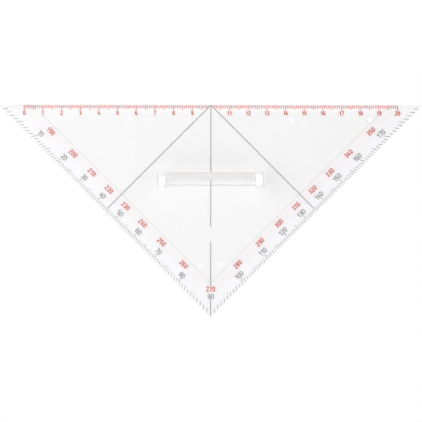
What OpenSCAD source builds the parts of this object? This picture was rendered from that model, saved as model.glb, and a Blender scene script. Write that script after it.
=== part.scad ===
// Navigation triangle: a clear plate with a printed ruler and two degree scales,
// and a clear grip bar whose tongues push into two slots in the plate.
// The origin is the centre of the footprint, on the surface that the plate lies on.
// X runs along the long edge, Y from the right-angled tip to the long edge, Z up.

/* [Plate] */
// Length of the long edge between its sharp corner points
hypotenuse = 227; // [190:0.5:320]
// Thickness of the plate inside its facets
plate_t = 2; // [1.6:0.1:4]
// Radius that rounds the three corners
corner_r = 0.5; // [0.2:0.1:2]
// Width of the facet along each short edge
leg_facet_w = 13; // [8:0.5:16]
// Thickness left at the short edges
leg_edge_t = 1.3; // [0.8:0.1:1.5]
// Width of the facet along the long edge
ruler_facet_w = 4.2; // [2:0.1:6]
// Thickness left at the long edge
ruler_edge_t = 1; // [0.8:0.1:1.5]

/* [Nubs] */
// Diameter of a nub where it leaves the plate
nub_d = 3; // [1.5:0.1:4]
// Diameter of the flat tip that a nub rests on
nub_tip_d = 1; // [0.6:0.1:1.4]
// Height of a nub below the plate
nub_h = 0.5; // [0.3:0.05:0.6]
// Distance of the four upper nubs from the long edge
nub_inset = 8.1; // [6.8:0.1:12]
// Distance of the inner upper nubs from the centre line
nub_inner_x = 43; // [30:0.5:55]
// Distance of the two lower nubs from the centre line
nub_lower_x = 5.1; // [2:0.1:7]
// Height of the two lower nubs above the sharp tip
nub_lower_rise = 28; // [26.5:0.5:36]

/* [Ruler] */
// Least distance from the ruler's ends to the sharp corners
ruler_margin = 12; // [10:0.5:20]
// Distance of the ruler's ticks from the long edge
ruler_tick_inset = 0.1; // [0.05:0.05:0.3]
// Reach of a millimetre tick from the long edge
mm_tick_reach = 1.7; // [1:0.1:2]
// Reach of a half-centimetre tick from the long edge
half_tick_reach = 2.4; // [2:0.1:2.7]
// Reach of a centimetre tick from the long edge
cm_tick_reach = 2.9; // [2.5:0.05:3]
// Width of a ruler tick
ruler_tick_w = 0.3; // [0.1:0.02:0.4]
// Height of the ruler's numerals
ruler_numeral_h = 2.35; // [1.5:0.05:2.4]
// Distance of the numerals' middle from the long edge
ruler_numeral_inset = 4.3; // [4.2:0.05:5]

/* [Degree scales] */
// Distance of the degree ticks from the short edges
degree_tick_inset = 0.2; // [0.15:0.05:0.6]
// Reach of a one-degree tick from the short edge
degree_tick_reach = 2.1; // [1:0.05:2.5]
// Reach of a five-degree tick from the short edge
five_tick_reach = 2.85; // [2:0.05:3.3]
// Reach of a ten-degree tick from the short edge
ten_tick_reach = 3.25; // [2.5:0.05:3.4]
// Width of a degree tick
degree_tick_w = 0.2; // [0.1:0.01:0.3]
// Height of the outer, course numerals
course_numeral_h = 2.7; // [2:0.1:2.8]
// Distance of the course numerals' foot from the short edge
course_inset = 3.6; // [3.55:0.05:4.5]
// Height of the course numeral at the tip, above the sharp tip
course_tip_rise = 10.9; // [10:0.05:11]
// Height of the inner, reciprocal numerals
reciprocal_numeral_h = 2.7; // [2:0.1:3.4]
// Distance of the reciprocal numerals' foot from the short edge
reciprocal_inset = 8.35; // [7.5:0.05:9]
// Shift of the reciprocal numerals along the short edges, away from the tip
reciprocal_shift = 0.25; // [0:0.05:0.5]
// Height of the reciprocal numeral at the tip, above the sharp tip
reciprocal_tip_rise = 14.95; // [14.6:0.05:16]

/* [Numerals] */
// Width of a digit, as a share of its height
digit_aspect = 0.52; // [0.42:0.01:0.6]
// Step from one digit to the next, as a share of the height
digit_step = 0.63; // [0.6:0.01:0.7]
// Shorter step that follows a one, as a share of the height
one_step = 0.57; // [0.46:0.01:0.63]
// Stroke of the ruler's digits, as a share of their height
ruler_stroke = 0.17; // [0.08:0.01:0.18]
// Stroke of the course numerals' digits, as a share of their height
course_stroke = 0.1; // [0.08:0.01:0.18]
// Stroke of the reciprocal numerals' digits, as a share of their height
reciprocal_stroke = 0.15; // [0.08:0.01:0.18]

/* [Lines] */
// Width of the centre line and of the two diagonals
line_w = 0.26; // [0.1:0.02:0.4]
// Gap between the centre line's ends and what they stop at
line_inset = 0.3; // [0.2:0.05:0.6]
// Distance of the diagonals' ends from the short edges
diagonal_inset = 1.4; // [0.8:0.1:3]
// Length of the bare place in the centre line
bare_l = 8; // [4:0.5:12]
// Height of the bare place's middle above the sharp tip
bare_rise = 44.5; // [38:0.5:50]

/* [Print] */
// Thickness of the printed film on the underside
ink_t = 0.04; // [0.02:0.01:0.1]
// Hair gap between the film and the plate
ink_gap = 0.01; // [0.005:0.005:0.02]
// Least gap between printed marks
ink_clear = 0.1; // [0.05:0.05:0.2]

/* [Handle] */
// Length of the handle over its feet
handle_l = 55.6; // [40:0.2:66]
// Height of the handle above the plate
handle_h = 9; // [8:0.1:14]
// Distance of the handle's middle from the long edge
handle_inset = 40.2; // [34:0.2:50]
// Length of a foot along the handle
foot_l = 4.4; // [3:0.1:8]
// Width of a foot across the handle
foot_w = 8.4; // [7:0.1:12]
// Radius of a foot's upright corners
foot_corner_r = 0.9; // [0.3:0.1:1.4]
// Width of the bar between the feet
bar_w = 6.8; // [5:0.1:8]
// Width of the flat under the front of the bar
lip_w = 3.1; // [2:0.1:4]
// Gap between the plate and the back of the bar
back_gap = 2; // [0.5:0.1:3]
// Angle of the slope under the bar
slope_angle = 45; // [20:1:48]
// Radius of the handle's top edges
top_edge_r = 0.4; // [0.2:0.1:1.2]
// Shoulder of a foot at each end of its tongue
tongue_end_shoulder = 0.5; // [0.4:0.1:1.2]
// Shoulder of a foot on each side of its tongue
tongue_side_shoulder = 1.7; // [0.4:0.1:2.4]
// Clearance of a tongue in its slot, on each side
tongue_clear = 0.1; // [0.05:0.01:0.2]
// Gap between a foot and the plate
seat_gap = 0.05; // [0.02:0.01:0.1]

/* [Hidden] */

$fn = 48;
// Largest turn between two points of a digit's curve
arc_step = 30;
// Depth by which joined solids run into each other
weld = 0.2;
// Length by which a cut runs past what it cuts
over = 1;
// One centimetre of the printed ruler
centimetre = 10;

half_l = hypotenuse / 2;
corner_setback = corner_r / tan(22.5);
tip_cut = corner_r * (sqrt(2) - 1);
edge_y = (half_l - tip_cut) / 2;
tip_y = edge_y - half_l;
leg_reach = half_l / sqrt(2);
top_z = nub_h + plate_t;
print_z = nub_h - ink_gap - ink_t;

nub_base_drop = ((nub_d / 2) ^ 2 - (nub_tip_d / 2) ^ 2 - nub_h ^ 2) / (2 * nub_h);
nub_dome_r = sqrt((nub_d / 2) ^ 2 + nub_base_drop ^ 2);
nub_upper_y = edge_y - nub_inset;
nub_outer_x = half_l - nub_inset - (leg_facet_w + nub_d / 2) * sqrt(2);
nub_lower_y = tip_y + nub_lower_rise;

ruler_half_cm = floor((half_l - ruler_margin) / centimetre);
tick_to_line = ruler_tick_w / 2 + line_w / sqrt(2) + ink_clear;
diagonal_start = line_w * (sqrt(2) + 1) / 2 + ink_clear * sqrt(2);

handle_y = edge_y - handle_inset;
foot_x = (handle_l - foot_l) / 2;
tongue_l = foot_l - 2 * tongue_end_shoulder;
tongue_w = foot_w - 2 * tongue_side_shoulder;
lip_z = back_gap + (bar_w - lip_w) * tan(slope_angle);
bar_edge_r = min(top_edge_r, (handle_h - lip_z) / 2);

clear_acrylic = [0.88, 0.9, 0.94, 0.45];
black_ink = [0.12, 0.12, 0.12];
red_ink = [0.84, 0.22, 0.2];

function arc(centre, r, from, to) =
    let (steps = max(2, ceil(abs(to - from) / arc_step)))
    [for (i = [0:steps])
        let (a = from + (to - from) * i / steps)
        centre + r * [cos(a), sin(a)]];

function reversed(list) = [for (i = [len(list) - 1:-1:0]) list[i]];
function unit_normal(p, q) = [p.y - q.y, q.x - p.x] / norm(q - p);

// Offset of a path's point that keeps a stroke's width through the bend there
function bend_offset(path, i) =
    let (last = len(path) - 1)
    let (n1 = unit_normal(path[max(i, 1) - 1], path[max(i, 1)]))
    let (n2 = unit_normal(path[min(i, last - 1)], path[min(i, last - 1) + 1]))
    (n1 + n2) / (1 + n1 * n2);

function beside(path, distance) =
    [for (i = [0:len(path) - 1]) path[i] + distance * bend_offset(path, i)];

module stroke(path, w) {
    polygon(concat(beside(path, -w / 2), reversed(beside(path, w / 2))));
}

// Upright oval round x, from y0 to y1
function oval(x, y0, y1, r) =
    concat(arc([x, y1 - r], r, 0, 180), arc([x, y0 + r], r, 180, 360));

module oval_ring(x, y0, y1, r, w) {
    outer = oval(x, y0 - w / 2, y1 + w / 2, r + w / 2);
    inner = oval(x, y0 + w / 2, y1 - w / 2, r - w / 2);
    count = len(outer);
    polygon(concat(outer, inner),
        [[for (i = [0:count - 1]) i], [for (i = [0:count - 1]) count + i]]);
}

// A digit as strokes of width s, whose middle lines fill a box of w by h
module digit(value, w, h, s) {
    r = w / 2;
    if (value == 0) oval_ring(r, 0, h, r, s);
    if (value == 1) {
        stroke([[0.65 * w, h + s / 2], [0.65 * w, -s / 2]], s);
        stroke([[0.65 * w, 0.97 * h], [0.05 * w, 0.75 * h]], s);
    }
    if (value == 2) {
        stroke(concat(arc([r, h - r], r, 170, -30), [[0.05 * w, 0]]), s);
        stroke([[-s / 2, 0], [w + s / 2, 0]], s);
    }
    if (value == 3) {
        stroke(concat(arc([r, h - r], r, 150, 0), arc([r, h / 2 + r], r, -30, -90),
            [[0.25 * w, h / 2]]), s);
        stroke(concat([[0.25 * w, h / 2]], arc([r, h / 2 - r], r, 90, 0),
            arc([r, r], r, -30, -150)), s);
    }
    if (value == 4) {
        stroke([[0.55 * w, h + s / 2], [0, 0.3 * h]], s);
        stroke([[-s / 2, 0.3 * h], [w + s / 2, 0.3 * h]], s);
        stroke([[0.72 * w, 0.58 * h], [0.72 * w, -s / 2]], s);
    }
    if (value == 5)
        stroke(concat([[0.95 * w, h], [0.08 * w, h], [0.02 * w, 0.5 * h]],
            arc([r, 0.6 * h - r], r, 120, 0), arc([r, r], r, -30, -150)), s);
    if (value == 6) six(w, h, s);
    if (value == 7) {
        stroke([[-s / 2, h], [w + s / 2, h]], s);
        stroke([[w, h], [0.3 * w, -s / 2]], s);
    }
    if (value == 8) {
        oval_ring(r, h / 2, h, r, s);
        oval_ring(r, 0, h / 2, r, s);
    }
    if (value == 9) translate([w, h]) rotate(180) six(w, h, s);
}

module six(w, h, s) {
    r = w / 2;
    oval_ring(r, 0, 0.58 * h, r, s);
    stroke(concat([[0, r]], arc([r, h - r], r, 180, 35)), s);
}

function digits_of(n) = n < 10 ? [n] : concat(digits_of(floor(n / 10)), [n % 10]);

// Distance of a digit's middle from the middle of its number's first digit, as a share of the height
function digit_place(digits, i) =
    i == 0 ? 0 : digit_place(digits, i - 1) + (digits[i - 1] == 1 ? one_step : digit_step);

// A number of the given height, centred on the origin, with a stroke that is a share of the height
module number(n, height, stroke_share) {
    digits = digits_of(n);
    last = len(digits) - 1;
    s = height * stroke_share;
    w = height * digit_aspect - s;
    for (i = [0:last]) {
        place = digit_place(digits, i) - digit_place(digits, last) / 2;
        translate([place * height - w / 2, (s - height) / 2])
            digit(digits[i], w, height - s, s);
    }
}

// Marks printed on the underside
module printed(ink) {
    color(ink) translate([0, 0, print_z]) linear_extrude(ink_t) children();
}

// Point on a degree's ray, a distance inside the short edge that the ray meets
function ray_point(degree, inset) =
    let (r = (leg_reach - inset) / sin(45 + min(degree, 180 - degree)))
    [0, edge_y] - r * [cos(degree), sin(degree)];

function degree_reach(degree) =
    degree % 90 == 45 ? diagonal_inset - ink_clear
    : degree % 10 == 0 ? ten_tick_reach
    : degree % 5 == 0 ? five_tick_reach
    : degree_tick_reach;

module degree_ticks(first) {
    for (degree = [first:first + 88])
        stroke([ray_point(degree, degree_tick_inset), ray_point(degree, degree_reach(degree))],
            degree_tick_w);
}

// Every tenth degree's number along one short edge, standing on its ray or shifted from it,
// counted on by a fixed amount
module degree_numerals(first, added, inset, height, stroke_share, shift = 0) {
    side = first < 90 ? -1 : 1;
    for (degree = [first:10:first + 70])
        translate(ray_point(degree, inset)) rotate(side * 45)
            translate([side * shift, height / 2]) number(degree + added, height, stroke_share);
}

module footprint() {
    right = [half_l - corner_setback, edge_y - corner_r];
    left = [-right.x, right.y];
    tip = [0, tip_y + corner_r * sqrt(2)];
    up = [0, corner_r];
    right_out = corner_r / sqrt(2) * [1, -1];
    left_out = corner_r / sqrt(2) * [-1, -1];
    polygon([right + up, left + up, left + left_out, tip + left_out, tip + right_out, right + right_out]);
    for (corner = [right, left, tip])
        translate(corner) circle(corner_r);
}

// Sloping cut along an edge that lies on the X axis, with the plate on its -Y side
module facet_cut(width, edge_t) {
    rise = (plate_t - edge_t) / width;
    rotate([90, 0, -90]) translate([0, 0, -hypotenuse])
        linear_extrude(2 * hypotenuse)
            polygon([[-over, edge_t - over * rise], [width + over, plate_t + over * rise],
                [-over, plate_t + over * rise]]);
}

module nub() {
    intersection() {
        translate([0, 0, nub_h + nub_base_drop]) sphere(r = nub_dome_r);
        cylinder(d = nub_d, h = nub_h + weld);
    }
}

module nubs() {
    for (side = [-1, 1]) {
        translate([side * nub_outer_x, nub_upper_y]) nub();
        translate([side * nub_inner_x, nub_upper_y]) nub();
        translate([side * nub_lower_x, nub_lower_y]) nub();
    }
}

module plate() {
    color(clear_acrylic) difference() {
        union() {
            translate([0, 0, nub_h]) linear_extrude(plate_t) footprint();
            nubs();
        }
        translate([0, edge_y, nub_h]) facet_cut(ruler_facet_w, ruler_edge_t);
        for (side = [-1, 1])
            translate([0, tip_y, nub_h]) rotate(side * 45) mirror([0, 1, 0])
                facet_cut(leg_facet_w, leg_edge_t);
        for (side = [-1, 1])
            translate([side * foot_x, handle_y, nub_h + plate_t / 2])
                cube([tongue_l + 2 * tongue_clear, tongue_w + 2 * tongue_clear, plate_t + 2 * over],
                    center = true);
    }
}

// Side view of the bar: rounded top edges, and a slope that rises to the flat under its front
module bar_profile() {
    y = bar_w / 2;
    r = bar_edge_r;
    polygon([[-y, lip_z], [lip_w - y, lip_z], [y, back_gap], [y, handle_h - r], [y - r, handle_h],
        [r - y, handle_h], [-y, handle_h - r]]);
    for (side = [-1, 1])
        translate([side * (y - r), handle_h - r]) circle(r);
}

// Upright outline with its two top corners rounded
module round_topped(width, height, r) {
    x = width / 2;
    polygon([[-x, seat_gap], [x, seat_gap], [x, height - r], [x - r, height], [r - x, height],
        [-x, height - r]]);
    for (side = [-1, 1])
        translate([side * (x - r), height - r]) circle(r);
}

module round_rectangle(length, width, r) {
    square([length - 2 * r, width], center = true);
    square([length, width - 2 * r], center = true);
    for (x = [-1, 1], y = [-1, 1])
        translate([x * (length / 2 - r), y * (width / 2 - r)]) circle(r);
}

module feet() {
    intersection() {
        for (side = [-1, 1])
            translate([side * foot_x, 0]) linear_extrude(handle_h)
                round_rectangle(foot_l, foot_w, foot_corner_r);
        rotate([90, 0, 0]) translate([0, 0, -foot_w])
            linear_extrude(2 * foot_w) round_topped(handle_l, handle_h, top_edge_r);
        rotate([90, 0, 90]) translate([0, 0, -handle_l])
            linear_extrude(2 * handle_l) round_topped(foot_w, handle_h, top_edge_r);
    }
}

module tongues() {
    for (side = [-1, 1])
        translate([side * foot_x - tongue_l / 2, -tongue_w / 2, -plate_t])
            cube([tongue_l, tongue_w, plate_t + seat_gap + weld]);
}

module handle() {
    color(clear_acrylic) translate([0, handle_y, top_z]) union() {
        rotate([90, 0, 90]) translate([0, 0, -foot_x])
            linear_extrude(2 * foot_x) bar_profile();
        feet();
        tongues();
    }
}

module ruler_ticks() {
    half_mm = centimetre * ruler_half_cm;
    printed(red_ink)
        for (mm = [-half_mm:half_mm])
            if (mm != 0) {
                reach = mm % centimetre == 0 ? cm_tick_reach
                    : mm % (centimetre / 2) == 0 ? half_tick_reach
                    : mm_tick_reach;
                shown = min(reach, abs(mm) - tick_to_line) - ruler_tick_inset;
                translate([mm - ruler_tick_w / 2, edge_y - ruler_tick_inset - shown])
                    square([ruler_tick_w, shown]);
            }
}

module ruler_numerals() {
    printed(red_ink)
        for (cm = [-ruler_half_cm:ruler_half_cm])
            if (cm != 0)
                translate([centimetre * cm, edge_y - ruler_numeral_inset])
                    number(cm + ruler_half_cm, ruler_numeral_h, ruler_stroke);
}

module left_degree_ticks() {
    printed(black_ink) degree_ticks(1);
}

module right_degree_ticks() {
    printed(black_ink) degree_ticks(91);
}

module left_course_numerals() {
    printed(black_ink) degree_numerals(10, 0, course_inset, course_numeral_h, course_stroke);
}

module right_course_numerals() {
    printed(black_ink) degree_numerals(100, 0, course_inset, course_numeral_h, course_stroke);
}

module left_reciprocal_numerals() {
    printed(red_ink)
        degree_numerals(10, 180, reciprocal_inset, reciprocal_numeral_h, reciprocal_stroke,
            reciprocal_shift);
}

module right_reciprocal_numerals() {
    printed(red_ink)
        degree_numerals(100, 180, reciprocal_inset, reciprocal_numeral_h, reciprocal_stroke,
            reciprocal_shift);
}

module tip_course_numeral() {
    printed(black_ink) translate([0, tip_y + course_tip_rise])
        number(90, course_numeral_h, course_stroke);
}

module tip_reciprocal_numeral() {
    printed(red_ink) translate([0, tip_y + reciprocal_tip_rise])
        number(270, reciprocal_numeral_h, reciprocal_stroke);
}

// The centre line stops at the bare place and at the two numerals of the tip
module centre_line() {
    stops = [edge_y - ruler_tick_inset,
        tip_y + bare_rise + bare_l / 2,
        tip_y + bare_rise - bare_l / 2,
        tip_y + reciprocal_tip_rise + reciprocal_numeral_h / 2 + line_inset,
        tip_y + course_tip_rise - course_numeral_h / 2 - line_inset,
        tip_y + tip_cut + line_inset];
    printed(black_ink)
        for (i = [0:2:4])
            stroke([[0, stops[i]], [0, stops[i + 1]]], line_w);
}

module diagonal(degree) {
    printed(black_ink)
        stroke([[0, edge_y] - diagonal_start * [cos(degree), sin(degree)],
            ray_point(degree, diagonal_inset)], line_w);
}

module left_diagonal() {
    diagonal(45);
}

module right_diagonal() {
    diagonal(135);
}

plate();
handle();
ruler_ticks();
ruler_numerals();
left_degree_ticks();
right_degree_ticks();
left_course_numerals();
right_course_numerals();
left_reciprocal_numerals();
right_reciprocal_numerals();
tip_course_numeral();
tip_reciprocal_numeral();
centre_line();
left_diagonal();
right_diagonal();
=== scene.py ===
import math

import bmesh
import bpy
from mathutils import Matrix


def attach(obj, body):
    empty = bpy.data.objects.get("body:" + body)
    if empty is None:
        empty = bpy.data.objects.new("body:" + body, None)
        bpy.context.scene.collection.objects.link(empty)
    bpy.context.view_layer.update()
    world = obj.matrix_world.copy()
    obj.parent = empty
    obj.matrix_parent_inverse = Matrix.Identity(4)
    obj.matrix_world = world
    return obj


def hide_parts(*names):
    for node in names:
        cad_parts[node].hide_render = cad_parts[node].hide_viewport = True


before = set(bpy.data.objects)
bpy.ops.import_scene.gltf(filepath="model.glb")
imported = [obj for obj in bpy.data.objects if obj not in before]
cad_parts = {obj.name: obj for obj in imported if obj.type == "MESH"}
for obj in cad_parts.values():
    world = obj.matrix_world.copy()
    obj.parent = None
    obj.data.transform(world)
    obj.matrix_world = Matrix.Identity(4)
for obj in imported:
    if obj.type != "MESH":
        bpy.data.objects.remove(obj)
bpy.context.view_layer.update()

MM = 0.001

# Places on the part, as in its source
EDGE_Y = 56.646 * MM
TIP_Y = -56.854 * MM
FACET_W = 13 * MM
RULER_W = 4.2 * MM
PLATE_BOTTOM = 0.5 * MM
BAR_BACK_Y = 19.846 * MM
BAR_FRONT_Y = 13.046 * MM
BAR_HALF_L = 23.4 * MM
HANDLE_HALF_L = 27.8 * MM

BLACK_NODES = ("left_degree_ticks", "right_degree_ticks", "left_course_numerals", "right_course_numerals",
               "tip_course_numeral", "centre_line", "left_diagonal", "right_diagonal")
RED_NODES = ("ruler_ticks", "ruler_numerals", "left_reciprocal_numerals", "right_reciprocal_numerals",
             "tip_reciprocal_numeral")

# Broken edges of the mouldings
PLATE_BEVEL = 0.1 * MM
HANDLE_BEVEL = 0.12 * MM
BEVEL_ANGLE = math.radians(24)
FLAT_ANGLE = math.radians(0.3)
MERGE_DISTANCE = 0.001 * MM

# How far a face's middle may lie from the plate's outline, and lean, to count as an edge face
EDGE_DEPTH = 0.3 * MM
EDGE_LEAN = 0.1

# Most of a noise lies between these two values
NOISE_LOW = 0.3
NOISE_HIGH = 0.7

# Clear acrylic. Only the nubs lie below NUB_TOP, and they are matt below NUB_MATT
ACRYLIC_IOR = 1.49
NUB_TOP = PLATE_BOTTOM - 0.005 * MM
NUB_MATT = PLATE_BOTTOM - 0.02 * MM
NUB_ROUGHNESS = 0.4
NUB_COLOUR = (1.0, 1.0, 1.0, 1.0)

# The plate's painted colours inwards from a short edge: 0 is the edge and 0.5 the facet's inner crease.
# Lighter towards the edge is painted light, the lavender in the facet a painted sheen, the dark line at the
# crease painted shade, and the neutral grey inside painted shade
CREASE = 0.5
FACET_SHADE_STOPS = (
    (0.0, (0.975, 0.975, 0.985)),
    (0.08, (0.965, 0.965, 0.975)),
    (0.14, (0.94, 0.938, 0.955)),
    (0.27, (0.922, 0.912, 0.932)),
    (0.34, (0.92, 0.895, 0.905)),
    (0.482, (0.92, 0.895, 0.905)),
    (0.49, (0.8, 0.795, 0.795)),
    (0.506, (0.8, 0.795, 0.795)),
    (0.513, (0.91, 0.91, 0.91)),
)

# The paler strip under the ruler is a painted highlight, which the facets of the short edges veil near the
# corners.
# Both fade with the distance from the long edge
RULER_HIGHLIGHT = (0.98, 0.97, 0.97, 1.0)
STRIP_FADE = (RULER_W - 0.3 * MM, RULER_W + 0.1 * MM)
VEIL_FADE = (2.5 * MM, 2.9 * MM)
VEIL_INNER = 0.6

# The handle's greyer faces, all painted: a painted reflection on the bar's back face, painted shade along
# its front edge and grey end faces that deepen the shadows past the ends. How deep each tint reaches, and
# where the back face's painted reflection changes with height
BACK_DEPTH = 0.03 * MM
BACK_CHANGE = (5.1 * MM, 5.3 * MM)
BACK_LOW_REFLECTION = (0.74, 0.71, 0.68, 1.0)
BACK_HIGH_REFLECTION = (0.66, 0.64, 0.65, 1.0)
# Painted shade along the bar's front edge
FRONT_DEPTH = 0.4 * MM
FRONT_EDGE_SHADE = (0.74, 0.72, 0.74, 1.0)
# Grey end faces, there to deepen the shadows cast past the handle's ends
END_DEPTH = 0.1 * MM
END_SHADOW_GREY = (0.4, 0.4, 0.4, 1.0)

# Floor and light. CEILING_TILT makes the ceiling brighter on the left.
# Each fade is a range of the direction's X, Y or Z
WHITE = (1.0, 1.0, 1.0, 1.0)
FLOOR_SIZE = 6.0
FLOOR_Z = -0.03 * MM
FLOOR_GLOW = 0.37
SKY = 0.1
HORIZON = 1.0
HORIZON_FADE = (0.15, 0.35)
CEILING = 0.92
CEILING_TILT = 1.0
CEILING_X_FADE = (0.43, 0.5)
CEILING_Y_FADE = (0.24, 0.31)
# Each soft light: the axis that it stands along, on which side, and its strength
SOFT_LIGHTS = (("X", -1.0, 2.1), ("X", 1.0, 0.9), ("Y", -1.0, 1.2))
SOFT_RISE = (0.3, 0.55)
SOFT_FADE = (0.45, 0.7)

CAMERA_PLACE = (0.16 * MM, -0.06 * MM, 250.5 * MM)
CAMERA_TURN = 0.0014
CAMERA_SENSOR = 36.0
CAMERA_LENS = 39.72
CAMERA_CLIP = 10 * MM
BOUNCES = 160


class Shader:
    """A node tree, with short ways to add and link nodes."""

    def __init__(self, tree):
        self.tree = tree
        self.tree.nodes.clear()

    def put(self, value, socket):
        if isinstance(value, bpy.types.NodeSocket):
            self.tree.links.new(value, socket)
        else:
            socket.default_value = value

    def add(self, kind, inputs=None, **settings):
        node = self.tree.nodes.new(kind)
        for name, value in settings.items():
            setattr(node, name, value)
        for name, value in (inputs or {}).items():
            self.put(value, node.inputs[name])
        return node

    def place(self):
        """The place on the object."""
        return self.add("ShaderNodeTexCoord").outputs["Object"]

    def axes(self, vector):
        return self.add("ShaderNodeSeparateXYZ", {"Vector": vector}).outputs

    def math(self, operation, a, b=0.0):
        return self.add("ShaderNodeMath", {0: a, 1: b}, operation=operation).outputs[0]

    def noise(self, vector, scale, detail=2.0, roughness=0.5):
        node = self.add("ShaderNodeTexNoise",
                        {"Vector": vector, "Scale": scale, "Detail": detail, "Roughness": roughness})
        return node.outputs["Fac"]

    def spread(self, value, low, high, out_low, out_high):
        """Maps low to high on to out_low to out_high, and holds the ends."""
        ends = {"From Min": low, "From Max": high, "To Min": out_low, "To Max": out_high}
        return self.add("ShaderNodeMapRange", {"Value": value, **ends}).outputs["Result"]

    def bump(self, height, strength, distance):
        node = self.add("ShaderNodeBump", {"Strength": strength, "Distance": distance, "Height": height})
        return node.outputs["Normal"]

    def mix(self, factor, a, b):
        node = self.add("ShaderNodeMix", data_type="RGBA")
        for name, value in (("Factor_Float", factor), ("A_Color", a), ("B_Color", b)):
            self.put(value, next(i for i in node.inputs if i.identifier == name))
        return next(o for o in node.outputs if o.identifier == "Result_Color")

    def ramp(self, value, stops):
        node = self.add("ShaderNodeValToRGB", {"Fac": value})
        elements = node.color_ramp.elements
        while len(elements) < len(stops):
            elements.new(1.0)
        for element, (place, colour) in zip(elements, stops):
            element.position = place
            element.color = (*colour, 1.0)
        return node.outputs["Color"]

    def shades(self, noise, first, second):
        """A colour that wavers between two."""
        return self.ramp(noise, ((NOISE_LOW, first), (NOISE_HIGH, second)))


def new_material(name):
    material = bpy.data.materials.new(name)
    material.use_nodes = True
    return material, Shader(material.node_tree)


def finish_material(shader, inputs):
    surface = shader.add("ShaderNodeBsdfPrincipled", inputs)
    shader.add("ShaderNodeOutputMaterial", {"Surface": surface.outputs["BSDF"]})


def acrylic(name, tint):
    """Clear moulded acrylic. tint gives the colour, painted shade included, from the shader and the place
    on the object.
    """
    material, s = new_material(name)
    place = s.place()
    specks = s.noise(place, scale=2600.0, detail=3.0, roughness=0.6)
    flow = s.noise(place, scale=90.0, detail=1.0)
    matt = s.spread(s.axes(place)["Z"], NUB_MATT, NUB_TOP, NUB_ROUGHNESS, 0.0)
    finish_material(s, {
        "Base Color": tint(s, place),
        "Roughness": s.math("ADD", matt, s.spread(specks, 0.35, 0.75, 0.004, 0.02)),
        "IOR": ACRYLIC_IOR,
        "Transmission Weight": 1.0,
        "Normal": s.bump(flow, strength=0.01, distance=0.01 * MM),
    })
    return material


def satin_acrylic(name):
    """The narrow edge faces, left satin by the mould, which scatter the light inside the plate."""
    material, s = new_material(name)
    grain = s.noise(s.place(), scale=3000.0, detail=3.0, roughness=0.6)
    finish_material(s, {
        "Base Color": s.shades(grain, (0.86, 0.88, 0.9), (0.92, 0.93, 0.95)),
        "Roughness": s.spread(grain, NOISE_LOW, NOISE_HIGH, 0.3, 0.45),
        "IOR": ACRYLIC_IOR,
        "Transmission Weight": 0.3,
        "Normal": s.bump(grain, strength=0.1, distance=0.01 * MM),
    })
    return material


def plate_tint_and_shade(s, place):
    """Neutral inside, faintly lavender in the short edges' facets, with a line along their inner crease,
    and paler under the ruler. The neutral grey inside and the crease line are painted shade, the lavender a
    painted sheen and the paler ruler strip a painted highlight.
    """
    axes = s.axes(place)
    across = s.math("SUBTRACT", s.math("SUBTRACT", axes["Y"], TIP_Y), s.math("ABSOLUTE", axes["X"]))
    depth = s.math("DIVIDE", across, FACET_W * math.sqrt(2))
    inside = s.ramp(s.math("MULTIPLY", depth, CREASE), FACET_SHADE_STOPS)
    from_edge = s.math("SUBTRACT", EDGE_Y, axes["Y"])
    # The paler strip under the ruler is a painted highlight
    strip = s.spread(from_edge, *STRIP_FADE, 1.0, 0.0)
    facet = s.math("LESS_THAN", depth, 1.0)
    veil = s.math("MULTIPLY", facet, s.spread(from_edge, *VEIL_FADE, 1.0, VEIL_INNER))
    strip = s.math("MULTIPLY", strip, s.math("SUBTRACT", 1.0, veil))
    nub = s.math("LESS_THAN", axes["Z"], NUB_TOP)
    return s.mix(nub, s.mix(strip, inside, RULER_HIGHLIGHT), NUB_COLOUR)


def handle_tint_and_shade(s, place):
    """Water clear, but greyer on the bar's back face, along its front edge and on the end faces: a painted
    reflection on the back face, painted shade along the front edge, and grey end faces that deepen the
    shadows cast past the ends.
    """
    axes = s.axes(place)
    along = s.math("ABSOLUTE", axes["X"])
    on_bar = s.math("LESS_THAN", along, BAR_HALF_L)
    off_back = s.math("ABSOLUTE", s.math("SUBTRACT", axes["Y"], BAR_BACK_Y))
    back = s.math("MULTIPLY", s.math("LESS_THAN", off_back, BACK_DEPTH), on_bar)
    front = s.math("MULTIPLY", s.math("LESS_THAN", axes["Y"], BAR_FRONT_Y + FRONT_DEPTH), on_bar)
    ends = s.math("GREATER_THAN", along, HANDLE_HALF_L - END_DEPTH)
    clear = s.shades(s.noise(place, scale=40.0, detail=1.0), (0.98, 0.98, 0.98), (0.99, 0.99, 0.988))
    # The back face's grey is a painted reflection
    grey = s.mix(s.spread(axes["Z"], *BACK_CHANGE, 0.0, 1.0), BACK_LOW_REFLECTION, BACK_HIGH_REFLECTION)
    # Painted shade along the front edge
    sides = s.mix(front, s.mix(back, clear, grey), FRONT_EDGE_SHADE)
    # Grey end faces that deepen the shadows past the ends
    return s.mix(ends, sides, END_SHADOW_GREY)


def ink(name, thin, full):
    """A printed film whose density wavers a little, with a fine grain."""
    material, s = new_material(name)
    place = s.place()
    density = s.noise(place, scale=900.0, detail=3.0, roughness=0.6)
    grain = s.noise(place, scale=9000.0)
    finish_material(s, {
        "Base Color": s.shades(density, thin, full),
        "Roughness": s.spread(grain, NOISE_LOW, NOISE_HIGH, 0.45, 0.65),
        "Normal": s.bump(grain, strength=0.2, distance=0.004 * MM),
    })
    return material


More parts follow.
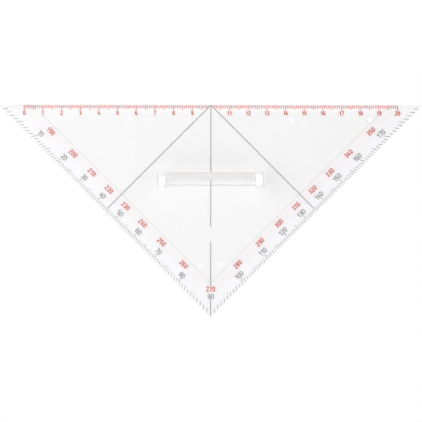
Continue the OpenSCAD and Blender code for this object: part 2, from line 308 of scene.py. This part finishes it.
def softened_copy(node, name, width):
    """A copy of a CAD solid with its sharp edges broken by a small bevel, as a polished moulding has."""
    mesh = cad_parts[node].data.copy()
    mesh.name = name
    bm = bmesh.new()
    bm.from_mesh(mesh)
    bmesh.ops.remove_doubles(bm, verts=bm.verts, dist=MERGE_DISTANCE)
    bmesh.ops.dissolve_limit(bm, angle_limit=FLAT_ANGLE, verts=bm.verts, edges=bm.edges)
    for face in bm.faces:
        face.smooth = True
    bm.to_mesh(mesh)
    bm.free()
    piece = bpy.data.objects.new(name, mesh)
    bpy.context.scene.collection.objects.link(piece)
    bevel = piece.modifiers.new("edges", "BEVEL")
    bevel.width = width
    bevel.segments = 2
    bevel.limit_method = "ANGLE"
    bevel.angle_limit = BEVEL_ANGLE
    normals = piece.modifiers.new("normals", "WEIGHTED_NORMAL")
    normals.weight = 100
    return piece


def dress(piece, *materials):
    piece.data.materials.clear()
    for material in materials:
        piece.data.materials.append(material)


def use_second_on_edges(piece):
    """Gives the upright faces along the plate's outline the second material."""
    for face in piece.data.polygons:
        from_long = EDGE_Y - face.center.y
        from_short = (face.center.y - TIP_Y - abs(face.center.x)) / math.sqrt(2)
        upright = abs(face.normal.z) < EDGE_LEAN
        face.material_index = int(upright and min(from_long, from_short) < EDGE_DEPTH)


# The two clear mouldings
plate = softened_copy("plate", "clear_plate", PLATE_BEVEL)
dress(plate, acrylic("plate_acrylic_and_shade", plate_tint_and_shade), satin_acrylic("edge_acrylic"))
use_second_on_edges(plate)
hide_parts("plate")
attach(plate, "plate")
# Light falls straight through the flat plate on to the print and the floor
plate.visible_shadow = False
plate.visible_diffuse = False

handle = softened_copy("handle", "clear_handle", HANDLE_BEVEL)
dress(handle, acrylic("handle_acrylic_and_shade", handle_tint_and_shade))
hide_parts("handle")
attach(handle, "handle")

# The print on the underside
black = ink("black_print", (0.05, 0.05, 0.05), (0.025, 0.025, 0.025))
red = ink("red_print", (0.78, 0.085, 0.05), (0.7, 0.055, 0.03))
for names, material in ((BLACK_NODES, black), (RED_NODES, red)):
    for name in names:
        dress(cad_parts[name], material)

# Floor
bpy.ops.mesh.primitive_plane_add(size=FLOOR_SIZE, location=(0, 0, FLOOR_Z))
floor = bpy.context.object
floor.name = "floor"
paper, s = new_material("floor_white")
finish_material(s, {
    "Base Color": s.shades(s.noise(s.place(), scale=30.0), (0.9, 0.9, 0.9), (0.905, 0.905, 0.905)),
    "Roughness": 1.0,
    "Specular IOR Level": 0.0,
    "Emission Color": WHITE,
    "Emission Strength": FLOOR_GLOW,
})
dress(floor, paper)

# A bright ceiling and horizon, with broad soft lights on the left, on the right and in front
scene = bpy.context.scene
scene.world = bpy.data.worlds.new("studio")
scene.world.use_nodes = True
s = Shader(scene.world.node_tree)
axes = s.axes(s.add("ShaderNodeTexCoord").outputs["Generated"])
overhead = s.math("SUBTRACT", CEILING, s.math("MULTIPLY", axes["X"], CEILING_TILT))
inside_x = s.spread(s.math("ABSOLUTE", axes["X"]), *CEILING_X_FADE, 1.0, 0.0)
inside_y = s.spread(s.math("ABSOLUTE", axes["Y"]), *CEILING_Y_FADE, 1.0, 0.0)
above = s.math("MULTIPLY", s.math("MULTIPLY", inside_x, inside_y), s.math("GREATER_THAN", axes["Z"], 0.0))
around = s.spread(axes["Z"], *HORIZON_FADE, HORIZON, SKY)
level = s.add("ShaderNodeMix", {0: above, 2: around, 3: overhead}, data_type="FLOAT").outputs[0]
raised = s.spread(axes["Z"], *SOFT_RISE, 0.0, 1.0)
for axis, side, strength in SOFT_LIGHTS:
    toward = s.spread(s.math("MULTIPLY", axes[axis], side), *SOFT_FADE, 0.0, strength)
    level = s.math("ADD", level, s.math("MULTIPLY", raised, toward))
background = s.add("ShaderNodeBackground", {"Color": WHITE, "Strength": level})
s.add("ShaderNodeOutputWorld", {"Surface": background.outputs["Background"]})

# Camera straight above the plate
camera_data = bpy.data.cameras.new("camera")
camera_data.sensor_width = CAMERA_SENSOR
camera_data.lens = CAMERA_LENS
camera_data.clip_start = CAMERA_CLIP
camera = bpy.data.objects.new("camera", camera_data)
camera.location = CAMERA_PLACE
camera.rotation_euler = (0.0, 0.0, CAMERA_TURN)
scene.collection.objects.link(camera)
bpy.context.scene.camera = camera
scene.view_settings.view_transform = "Standard"
scene.cycles.blur_glossy = 0.0
# Enough bounces for light that runs along inside the acrylic
scene.cycles.max_bounces = BOUNCES
scene.cycles.glossy_bounces = BOUNCES
scene.cycles.transmission_bounces = BOUNCES
# Guides that keep the fine print sharp under the clear plate
scene.cycles.denoising_input_passes = "RGB_ALBEDO_NORMAL"
scene.cycles.denoising_prefilter = "NONE"
